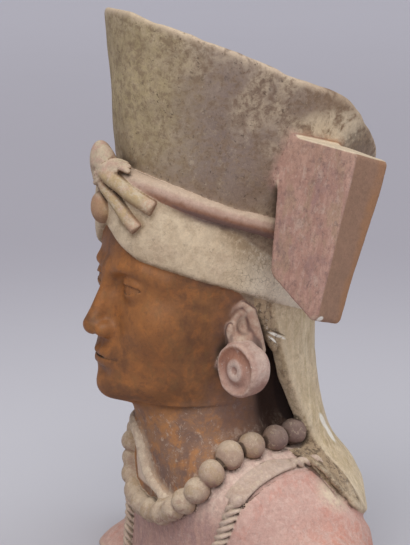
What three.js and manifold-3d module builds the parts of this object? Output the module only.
// Terracotta deity figure, close-up of the head and headdress, as a bust cut
// flat below the shoulders. One fired-clay body. Millimetres, +Z up, the
// figure looks along -Y and its left side is +X. The neck stands over the
// origin and z = 0 is the flat cut underside.
import * as THREE from 'three';
import { mergeVertices } from 'three/addons/utils/BufferGeometryUtils.js';
import Module from 'manifold-3d';

const wasm = await Module();
wasm.setup();

// ---------------------------------------------------------------- dimensions
// Torso and neck, horizontal sections: height, half width, front y, back y.
const TORSO = [
  [0, 128, -40, 116], [22, 126, -40, 118], [46, 122, -39, 117], [70, 115, -41, 114],
  [90, 104, -44, 107], [106, 91, -46, 99], [118, 78, -47, 88],
  [129, 63, -49, 76], [139, 52.5, -51, 66], [150, 48, -52.5, 60], [166, 46.5, -52, 56],
  [196, 46, -46, 54],
];
const TORSO_POWER = 2.35;
const SHOULDER = { at: [112, 44, 17], half: [67, 47, 54] };      // rounded shoulder
const UPPER_ARM = { at: [126, 12, -22], half: [48, 56, 43] };    // arm start, a little forward

// Head, chin to brow, the same four columns. The crown is inside the hat.
const HEAD = [
  [165, 16, -76, -44], [169, 27, -80.5, -18], [177, 38.5, -82.5, 14], [189, 47, -81.5, 36],
  [204, 53, -79.5, 50], [222, 58, -78.5, 60], [242, 61, -77.5, 66], [262, 62, -76, 70],
  [282, 62, -77, 72], [302, 60.5, -76, 72], [322, 57, -70, 70],
];
const HEAD_POWER = 2.25;

// Face on plain thirds: brow, nose base and chin are one third apart.
const THIRD = 47;
const BROW_Z = 263;
const NOSE_BASE_Z = BROW_Z - THIRD;
const CHIN_Z = NOSE_BASE_Z - THIRD;
const EYE_Z = BROW_Z - 9;
const EYE_X = 25.5;
const MOUTH_Z = NOSE_BASE_Z - THIRD / 3;
const MOUTH_HALF = 20;
const NOSE_RISE = 20;
const NOSE_HALF = 13.5;

// Hat, an open funnel with a rim that falls to the back.
const HAT = [
  [236, 60, -56, 92], [270, 66, -60, 104], [304, 71, -62.5, 117], [338, 77, -64, 131],
  [372, 82.5, -66, 143], [410, 88, -68.5, 156], [450, 93, -71, 168], [486, 97, -73, 178],
];
const HAT_POWER = 2.2;
const HAT_WALL = 9;
const HAT_FLOOR_Z = 330;
const RIM = { frontY: -72, frontZ: 452, fall: 0.425, backY: 80, backFall: 0.7 };
const rimZ = (y) => RIM.frontZ - RIM.fall * (y - RIM.frontY)
  - RIM.backFall * 8 * Math.log1p(Math.exp((y - RIM.backY) / 8)) - 3 * Math.exp(-(((y + 84) / 7) ** 2));

// Cloth band under the roll.
const BAND = { halfWidth: 66.5, front: -81, back: 90, power: 2.15, edge: 3.2 };
const bandLow = (t) => 250.5 + 30 * Math.max(Math.cos(t), -0.6) + 18 * Math.exp(-((t / 0.31) ** 2));
const bandHigh = (t) => 294 + 24 * Math.cos(t) + 14 * Math.max(Math.cos(t), 0) ** 2;

// Roll tied round the hat, with a knot and two tails in front.
const ROLL = { stand: 2.2, frontStand: 5, frontR: 6.3, backR: 4.9 };
const rollZ = (t) => 299 + 22 * Math.cos(t) + 20 * Math.max(Math.cos(t), 0) ** 2;
const KNOT = { y: -79, z: 341, half: [13, 9.5, 18.5] };
const TAIL_R = 5.4;

// Side wings, thick slabs that lean back with the hat.
const WING = {
  topOuter: [138, 52, 354], topInner: [76, 26.5, 365],
  bottomInner: [90, 8, 275], bottomOuter: [138, 20, 247.5],
  thick: 28, bevel: 3,
};

// Ears and ear spools.
const EAR = { at: [61, 6, 226], half: [7, 12, 21] };
const SPOOL = { face: [75, -10.4, 199.5], turn: 20, radius: 20, length: 21, boss: 8.6 };

// Bead string, low in front and lying on the neck's root behind: half its line.
const BEADS = {
  count: 22, radius: 9.2,
  half: [[0, -51, 79.5], [38, -48, 85.5], [57, -43, 96], [66, -35, 110], [67.5, -21, 124.5],
    [64.5, -4, 133], [61, 12, 137.5], [56, 32, 139.5], [44, 53, 138.5], [23, 66, 138], [0, 70, 138]],
};

// Mantle edges and the veil down the back.
const TRIM = {
  radius: 5,
  // height and bearing from the front, degrees, on the shoulder
  path: [[108, 146], [116, 131], [118.5, 119], [120, 104], [120, 91], [116, 76.5], [109.5, 64],
    [95.5, 51], [86, 45], [72, 41], [45, 38], [20, 37], [-12, 37]],
};
const NAPE = { at: [0, 62, 172], half: [36, 27, 78] };     // clay between neck and veil
const VEIL = {
  thick: 14, footThick: 24,
  // height, half width, front edge y, outer back y
  rows: [
    [290, 65, 10, 98], [250, 64, 17, 90], [207, 60, 29, 85.5], [180, 58, 38, 86.5],
    [152, 57, 48, 91.5], [128, 57, 59, 99.5], [106, 58, 70, 111], [88, 59, 80, 123],
    [70, 55, 90, 130], [54, 42, 96, 127],
  ],
};

// ------------------------------------------------------------------- helpers
const { sin, cos, abs, sign, max, PI } = Math;

// Smooth reading of a table of stations, all columns at one height.
function station(rows, z) {
  const n = rows.length;
  if (z <= rows[0][0]) return rows[0].slice(1);
  if (z >= rows[n - 1][0]) return rows[n - 1].slice(1);
  let i = 0;
  while (z > rows[i + 1][0]) i++;
  const h = rows[i + 1][0] - rows[i][0];
  const t = (z - rows[i][0]) / h;
  const slope = (k, c) => {
    if (k === 0) return (rows[1][c] - rows[0][c]) / (rows[1][0] - rows[0][0]);
    if (k === n - 1) return (rows[k][c] - rows[k - 1][c]) / (rows[k][0] - rows[k - 1][0]);
    return (rows[k + 1][c] - rows[k - 1][c]) / (rows[k + 1][0] - rows[k - 1][0]);
  };
  const out = [];
  for (let c = 1; c < rows[0].length; c++) {
    const a = rows[i][c], b = rows[i + 1][c], m0 = slope(i, c) * h, m1 = slope(i + 1, c) * h;
    out.push((2 * t ** 3 - 3 * t ** 2 + 1) * a + (t ** 3 - 2 * t ** 2 + t) * m0
      + (-2 * t ** 3 + 3 * t ** 2) * b + (t ** 3 - t ** 2) * m1);
  }
  return out;
}

// A point on a superellipse section; t = 0 is the front, +90 degrees is +X.
function onSection(a, front, back, power, t) {
  const s = sin(t), c = cos(t);
  const k = (abs(s) ** power + abs(c) ** power) ** (-1 / power);
  return [a * k * s, (front + back) / 2 - ((back - front) / 2) * k * c];
}

// Rings of points, all of one count, closed with a fan at each end.
function loft(rings) {
  const n = rings[0].length;
  const pos = [], idx = [];
  for (const ring of rings) for (const p of ring) pos.push(p[0], p[1], p[2]);
  const mid = (ring) => ring.reduce((s, p) => [s[0] + p[0] / n, s[1] + p[1] / n, s[2] + p[2] / n], [0, 0, 0]);
  pos.push(...mid(rings[0]), ...mid(rings[rings.length - 1]));
  const a = rings.length * n, b = a + 1, last = (rings.length - 1) * n;
  for (let r = 0; r + 1 < rings.length; r++) {
    for (let i = 0; i < n; i++) {
      const j = (i + 1) % n, p = r * n, q = p + n;
      idx.push(p + i, p + j, q + j, p + i, q + j, q + i);
    }
  }
  for (let i = 0; i < n; i++) {
    const j = (i + 1) % n;
    idx.push(a, j, i, b, last + i, last + j);
  }
  const g = new THREE.BufferGeometry();
  g.setAttribute('position', new THREE.Float32BufferAttribute(pos, 3));
  g.setIndex(idx);
  return g;
}

// A closed mesh as a solid, turned right side out if it was inside out.
function solid(geometry) {
  const g0 = geometry.clone();
  g0.deleteAttribute('normal');
  g0.deleteAttribute('uv');
  const g = mergeVertices(g0, 1e-4);
  const p = g.attributes.position, ix = Uint32Array.from(g.index.array);
  let vol = 0;
  const v = (k) => new THREE.Vector3().fromBufferAttribute(p, k);
  for (let i = 0; i < ix.length; i += 3) vol += v(ix[i]).dot(v(ix[i + 1]).cross(v(ix[i + 2])));
  if (vol < 0) for (let i = 0; i < ix.length; i += 3) [ix[i + 1], ix[i + 2]] = [ix[i + 2], ix[i + 1]];
  return new wasm.Manifold(new wasm.Mesh({
    numProp: 3, vertProperties: new Float32Array(p.array), triVerts: ix,
  }));
}

// A tube along points, with rounded ends and a radius that may change.
function tube(points, radius, sides = 8, steps = 16, closed = false) {
  const curve = new THREE.CatmullRomCurve3(points.map((p) => new THREE.Vector3(...p)), closed);
  const frames = curve.computeFrenetFrames(steps, closed);
  const rings = [];
  const ring = (u, r, shift) => {
    const k = Math.round(u * steps);
    const c = curve.getPointAt(u), N = frames.normals[k], B = frames.binormals[k], T = frames.tangents[k];
    return [...Array(sides)].map((_, i) => {
      const f = (2 * PI * i) / sides;
      return [c.x + r * (cos(f) * N.x + sin(f) * B.x) + shift * T.x,
        c.y + r * (cos(f) * N.y + sin(f) * B.y) + shift * T.y,
        c.z + r * (cos(f) * N.z + sin(f) * B.z) + shift * T.z];
    });
  };
  const R = typeof radius === 'function' ? radius : () => radius;
  if (!closed) rings.push(ring(0, R(0) * 0.55, -R(0) * 0.5));
  for (let k = 0; k <= steps; k++) rings.push(ring(k / steps, R(k / steps), 0));
  if (!closed) rings.push(ring(1, R(1) * 0.55, R(1) * 0.5));
  return loft(rings);
}

const ellipsoid = (at, half, w = 14, h = 10) => {
  const g = new THREE.SphereGeometry(1, w, h);
  g.scale(half[0], half[1], half[2]);
  g.translate(...at);
  return g;
};

const mirrorX = (g) => {
  const m = g.clone();
  m.scale(-1, 1, 1);
  return m;
};

// --------------------------------------------------------------------- torso
function torso() {
  const n = 32, zs = [0, 35, 70, 90, 106, 118, 129, 140, 160, 196];
  return loft(zs.map((z) => {
    const [a, f, b] = station(TORSO, z);
    return [...Array(n)].map((_, i) => [...onSection(a, f, b, TORSO_POWER, (2 * PI * i) / n), z]);
  }));
}
function torsoAt(z, t) {
  const [a, f, b] = station(TORSO, z);
  return [...onSection(a, f, b, TORSO_POWER, t), z];
}

// ---------------------------------------------------------------------- head
const bump = (x, c, w) => Math.exp(-(((x - c) / w) ** 2));
const ramp = (x, a, b) => THREE.MathUtils.smoothstep(x, a, b);

// How far the face stands out in front of the plain head at x, z.
function relief(x, z) {
  const ax = abs(x);
  const up = ramp(z, NOSE_BASE_Z - 5, NOSE_BASE_Z + 7);
  const down = 1 - ramp(z, NOSE_BASE_Z + 8, BROW_Z + 4);
  const ridge = (2.5 + (NOSE_RISE - 2.5) * down) * up * (1 - ramp(z, BROW_Z + 2, BROW_Z + 18));
  const width = NOSE_HALF * (0.42 + 0.36 * down);
  let d = ridge * bump(x, 0, width);
  d += 6.5 * bump(ax, NOSE_HALF * 0.8, 4.6) * bump(z, NOSE_BASE_Z + 5, 6);
  d -= 5 * bump(ax, EYE_X, 13) * bump(z, EYE_Z, 9);
  d += 4.6 * bump(ax, EYE_X, 9.5) * bump(z, EYE_Z - 0.5, 5.4);
  d += 2.8 * bump(z, BROW_Z + 5, 6) * ramp(ax, 3, 12) * (1 - ramp(ax, 32, 48));
  d += 5.2 * bump(z, MOUTH_Z + 4, 3.6) * bump(x, 0, MOUTH_HALF * 0.72);
  d += 5.2 * bump(z, MOUTH_Z - 4.4, 3.9) * bump(x, 0, MOUTH_HALF * 0.62);
  d -= 2 * bump(z, MOUTH_Z - 13, 4) * bump(x, 0, 18);
  d += 4 * bump(z, CHIN_Z + 12, 9) * bump(x, 0, 15);
  d += 2.2 * bump(ax, 33, 13) * bump(z, NOSE_BASE_Z + 12, 16);
  return d;
}

function head() {
  const zs = [];
  for (let z = 165; z < 322; z += z < 177 ? 4 : z < 272 ? 5.3 : 17) zs.push(z);
  const n = 34;
  return loft(zs.map((z) => {
    const [a, f, b] = station(HEAD, z);
    return [...Array(n)].map((_, i) => {
      const u = (2 * PI * i) / n;
      const t = u - 0.55 * sin(u);                 // points crowd to the face
      const [x, y] = onSection(a, f, b, HEAD_POWER, t);
      const facing = ramp(cos(t), 0.35, 0.8);
      return [x, y - relief(x, z) * facing * ramp(z, 165, 176), z];
    });
  }));
}

// ----------------------------------------------------------------------- hat
function hatBody(inset, z0, z1, sides, steps) {
  const rings = [];
  for (let k = 0; k <= steps; k++) {
    const z = z0 + ((z1 - z0) * k) / steps;
    const [a, f, b] = station(HAT, z);
    rings.push([...Array(sides)].map((_, i) => {
      const t = (2 * PI * i) / sides;
      const [x, y] = onSection(a - inset, f + inset, b - inset, HAT_POWER, t);
      return [x, y, z];
    }));
  }
  return loft(rings);
}

// Everything under the curved rim line: its side profile drawn across the hat.
function underRim() {
  const shape = new THREE.Shape();
  shape.moveTo(-260, 100);
  shape.lineTo(260, 100);
  for (let y = 200; y >= -100; y -= 12) shape.lineTo(y, rimZ(y));
  shape.lineTo(-260, rimZ(-100));
  shape.closePath();
  const g = new THREE.ExtrudeGeometry(shape, { depth: 400, bevelEnabled: false });
  g.translate(0, 0, -200);
  g.applyMatrix4(new THREE.Matrix4().makeBasis(
    new THREE.Vector3(0, 1, 0), new THREE.Vector3(0, 0, 1), new THREE.Vector3(1, 0, 0)));
  return g;
}

function band() {
  const n = 36;
  const rows = [[0, -1], [0.05, 0], [0.5, 0.35], [1, 0]];
  const rings = rows.map(([v, out]) => [...Array(n)].map((_, i) => {
    const u = (2 * PI * i) / n;
    const t = u > PI ? u - 2 * PI : u;
    const o = out * BAND.edge;
    const [x, y] = onSection(BAND.halfWidth + o, BAND.front - o, BAND.back + o, BAND.power, u);
    return [x, y, bandLow(t) * (1 - v) + (bandHigh(t) + 4) * v];
  }));
  return loft(rings);
}

function rollRing() {
  const n = 28, sides = 6;
  const at = (t) => {
    const z = rollZ(t > PI ? t - 2 * PI : t), [a, f, b] = station(HAT, z);
    const [x, y] = onSection(a + ROLL.stand, f - ROLL.frontStand, b + ROLL.stand, HAT_POWER, t);
    return new THREE.Vector3(x, y, z);
  };
  const pos = [], idx = [];
  for (let k = 0; k < n; k++) {
    const t = (2 * PI * k) / n, c = at(t);
    const T = at(t + 0.01).sub(at(t - 0.01)).normalize();
    const O = new THREE.Vector3(c.x, c.y - 26, 0).normalize();
    const B = new THREE.Vector3().crossVectors(T, O).normalize();
    const N = new THREE.Vector3().crossVectors(B, T).normalize();
    const r = ROLL.backR + (ROLL.frontR - ROLL.backR) * ramp(cos(t), -0.4, 0.9);
    for (let i = 0; i < sides; i++) {
      const f = (2 * PI * (i + 0.5)) / sides;
      pos.push(c.x + r * (cos(f) * N.x + sin(f) * B.x), c.y + r * (cos(f) * N.y + sin(f) * B.y),
        c.z + r * (cos(f) * N.z + sin(f) * B.z));
    }
  }
  for (let k = 0; k < n; k++) {
    for (let i = 0; i < sides; i++) {
      const a = k * sides + i, b = k * sides + ((i + 1) % sides);
      const c = ((k + 1) % n) * sides + i, d = ((k + 1) % n) * sides + ((i + 1) % sides);
      idx.push(a, b, d, a, d, c);
    }
  }
  const g = new THREE.BufferGeometry();
  g.setAttribute('position', new THREE.Float32BufferAttribute(pos, 3));
  g.setIndex(idx);
  return g;
}

// --------------------------------------------------------------------- wings
function wing() {
  const P = Object.fromEntries(['topOuter', 'topInner', 'bottomInner', 'bottomOuter']
    .map((k) => [k, new THREE.Vector3(...WING[k])]));
  const along = P.topInner.clone().sub(P.topOuter);
  const down = P.bottomOuter.clone().sub(P.topOuter).normalize();
  const normal = new THREE.Vector3().crossVectors(along, down).normalize();   // to the back or front
  if (normal.y > 0) normal.negate();
  const w = new THREE.Vector3().crossVectors(down, normal).normalize();
  const flat = (p) => {
    const d = p.clone().sub(P.topOuter);
    return new THREE.Vector2(d.dot(w), d.dot(down));
  };
  const corners = ['topOuter', 'topInner', 'bottomInner', 'bottomOuter'].map((k) => flat(P[k]));
  const shape = new THREE.Shape();
  const centre = corners.reduce((s, c) => s.add(c), new THREE.Vector2()).multiplyScalar(0.25);
  const inner = corners.map((c) => {
    const d = c.clone().sub(centre);
    return c.clone().sub(new THREE.Vector2(sign(d.x) * WING.bevel, sign(d.y) * WING.bevel));
  });
  shape.moveTo(inner[0].x, inner[0].y);
  for (let i = 1; i < 4; i++) shape.lineTo(inner[i].x, inner[i].y);
  shape.closePath();
  const g = new THREE.ExtrudeGeometry(shape, {
    depth: WING.thick - 2 * WING.bevel, bevelEnabled: true, bevelThickness: WING.bevel,
    bevelSize: WING.bevel, bevelSegments: 2, curveSegments: 4,
  });
  g.translate(0, 0, WING.bevel - WING.thick);
  g.applyMatrix4(new THREE.Matrix4().makeBasis(w, down, normal).setPosition(P.topOuter));
  return g;
}

// -------------------------------------------------------------- ears, spools
function spool() {
  const { radius: R, length: L, boss } = SPOOL;
  const profile = [[0, -1.5], [3.4, -1.2], [boss - 1.6, 1.2], [boss, -0.6], [boss + 2.4, -2.8],
    [R - 6, -2.6], [R - 3.6, -0.2], [R - 1, -0.2], [R, -2], [R - 3, -L], [0, -L]];
  const g = new THREE.LatheGeometry(profile.map((p) => new THREE.Vector2(p[0], p[1])), 15);
  g.rotateX(PI / 2);                                        // lathe axis y -> +z, then face to -y
  g.rotateX(PI / 2);
  g.rotateZ(THREE.MathUtils.degToRad(SPOOL.turn));
  g.translate(...SPOOL.face);
  return g;
}

// ----------------------------------------------------------------- necklace
const beadLine = new THREE.CatmullRomCurve3([
  ...BEADS.half.map((p) => new THREE.Vector3(...p)),
  ...BEADS.half.slice(1, -1).reverse().map(([x, y, z]) => new THREE.Vector3(-x, y, z)),
], true, 'centripetal');
const beadAt = (k) => beadLine.getPointAt((k + 0.5) / BEADS.count).toArray();

// --------------------------------------------------------------------- veil
function veil() {
  const m = 10;
  const zs = VEIL.rows.map((r) => r[0]).reverse();
  const rings = zs.map((z) => {
    const [a, f, b] = station([...VEIL.rows].reverse(), z);
    const ring = [];
    const arc = (inset, back) => {
      for (let i = 0; i <= m; i++) {
        const u = back ? 1 - i / m : i / m;
        const t = -PI / 2 + PI * u;                 // -90..90 degrees round the back
        ring.push([(a - inset) * sin(t), f + (b - f - inset) * cos(t) * 1, z]);
      }
    };
    arc(0, false);
    arc(VEIL.thick + (VEIL.footThick - VEIL.thick) * (1 - ramp(z, 80, 112)), true);
    return ring;
  });
  const n = rings[0].length, pos = [], idx = [];
  for (const r of rings) for (const p of r) pos.push(...p);
  for (let r = 0; r + 1 < rings.length; r++) {
    for (let i = 0; i < n; i++) {
      const j = (i + 1) % n, p = r * n, q = p + n;
      idx.push(p + i, p + j, q + j, p + i, q + j, q + i);
    }
  }
  for (const [base, flip] of [[0, false], [(rings.length - 1) * n, true]]) {
    for (let i = 0; i < m; i++) {
      const a = base + i, b = base + i + 1, c = base + n - 1 - i, d = base + n - 2 - i;
      if (flip) idx.push(a, b, d, a, d, c);
      else idx.push(a, d, b, a, c, d);
    }
  }
  const g = new THREE.BufferGeometry();
  g.setAttribute('position', new THREE.Float32BufferAttribute(pos, 3));
  g.setIndex(idx);
  return g;
}

// Mantle edge: over the shoulder beside the beads and down the chest.
function trim(side) {
  return tube(TRIM.path.map(([z, deg]) => {
    const t = THREE.MathUtils.degToRad(deg);
    const p = torsoAt(max(z, 0), t);
    return [side * (p[0] + 1.5), p[1], z < 0 ? z : z + 1.5];
  }), TRIM.radius, 6, 12);
}

// ------------------------------------------------------------------ assembly
let body = solid(torso());
const join = (g) => { body = body.add(solid(g)); };

join(head());
for (const s of [1, -1]) {
  for (const part of [SHOULDER, UPPER_ARM]) {
    const [x, y, z] = part.at;
    join(ellipsoid([s * x, y, z], part.half, 12, 7));
  }
}
join(band());
join(ellipsoid(NAPE.at, NAPE.half, 10, 8));
const funnel = solid(hatBody(0, 236, 486, 38, 5)).intersect(solid(underRim()));
join(veil());
join(wing());
join(mirrorX(wing()));
body = body.add(funnel);
body = body.subtract(solid(hatBody(HAT_WALL, HAT_FLOOR_Z, 500, 32, 3)));
join(rollRing());
join(ellipsoid([0, KNOT.y, KNOT.z], KNOT.half, 10, 8));
join(tube([[2, -81, 341], [17, -83, 337], [32, -77, 327], [44, -67, 314]], TAIL_R, 6, 6));
join(tube([[3, -81, 333], [15, -84, 322], [27, -81, 308], [37, -75, 294]], TAIL_R * 0.9, 6, 6));
for (const s of [1, -1]) {
  join(ellipsoid([s * EAR.at[0], EAR.at[1], EAR.at[2]], EAR.half, 10, 7));
}
join(ellipsoid([0, -83, 310], [12, 7, 11], 10, 6));
join(spool());
join(mirrorX(spool()));
for (let k = 0; k < BEADS.count; k++) {
  const b = new THREE.SphereGeometry(BEADS.radius, 8, 5);
  b.translate(...beadAt(k));
  join(b);
}
join(trim(1));
join(trim(-1));

// Flat cut underside.
const below = new THREE.BoxGeometry(900, 900, 300);
below.translate(0, 0, -150);
body = body.subtract(solid(below));

// -------------------------------------------------------------------- export
function toGeometry(m) {
  const out = m.getMesh(), n = out.numProp, v = out.vertProperties;
  const pos = new Float32Array((v.length / n) * 3);
  for (let i = 0; i * n < v.length; i++) for (let c = 0; c < 3; c++) pos[3 * i + c] = v[i * n + c];
  const g = new THREE.BufferGeometry();
  g.setAttribute('position', new THREE.BufferAttribute(pos, 3));
  g.setIndex(new THREE.BufferAttribute(new Uint32Array(out.triVerts), 1));
  g.computeVertexNormals();
  return g;
}

const bust = new THREE.Mesh(toGeometry(body), new THREE.MeshStandardMaterial({
  color: 0xa88466, roughness: 0.8, metalness: 0,
}));
bust.name = 'deity_bust';

const root = new THREE.Group();
root.add(bust);
export default root;
